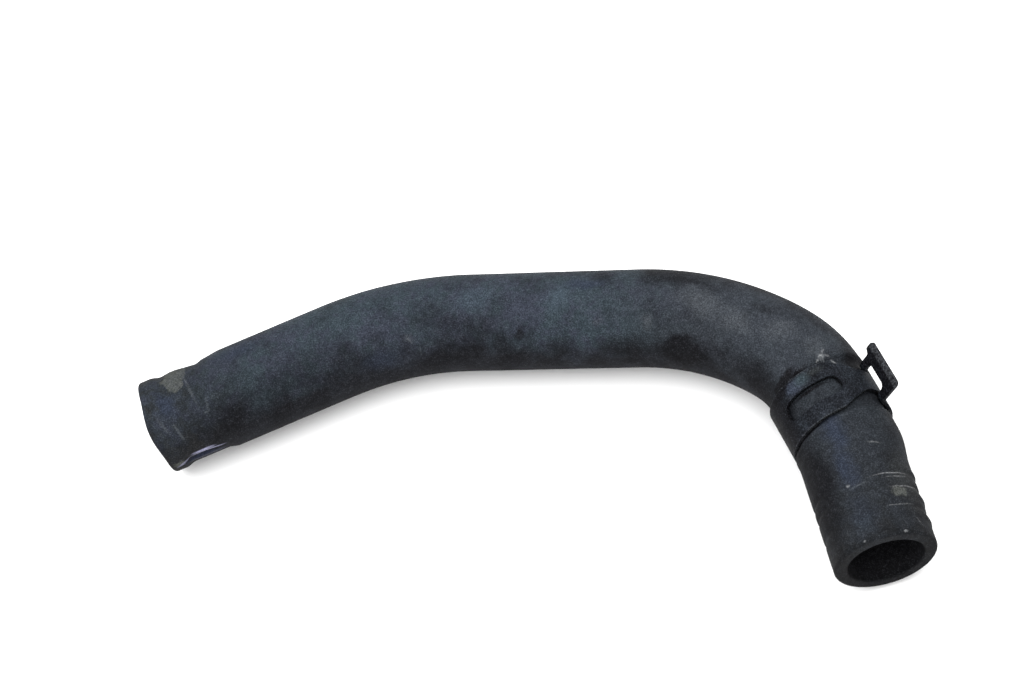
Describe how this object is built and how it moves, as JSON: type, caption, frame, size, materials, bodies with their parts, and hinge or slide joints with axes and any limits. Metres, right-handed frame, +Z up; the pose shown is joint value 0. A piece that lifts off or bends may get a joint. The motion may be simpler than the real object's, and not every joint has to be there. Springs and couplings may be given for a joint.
{
  "type": "moulded coolant hose",
  "caption": "Hooked moulded rubber coolant hose, open right through, with a spring band clamp gripping it just after its main bend.",
  "frame": {"origin": "middle of the bounding box's bottom face, on the surface that the hose lies on", "axes": "+Z up; the middle leg runs along +X; the right mouth faces mostly towards -Y and the left mouth towards -X and -Y"},
  "size_m": [0.221, 0.0908, 0.0288],
  "materials": {
    "hose_rubber": "matt black moulded rubber with dusty wear",
    "clamp_steel": "black-coated spring steel, scuffed at its edges"
  },
  "bodies": {
    "root": {"coolant_hose": "hose_rubber", "spring_band_clamp": "clamp_steel"}
  },
  "joints": []
}
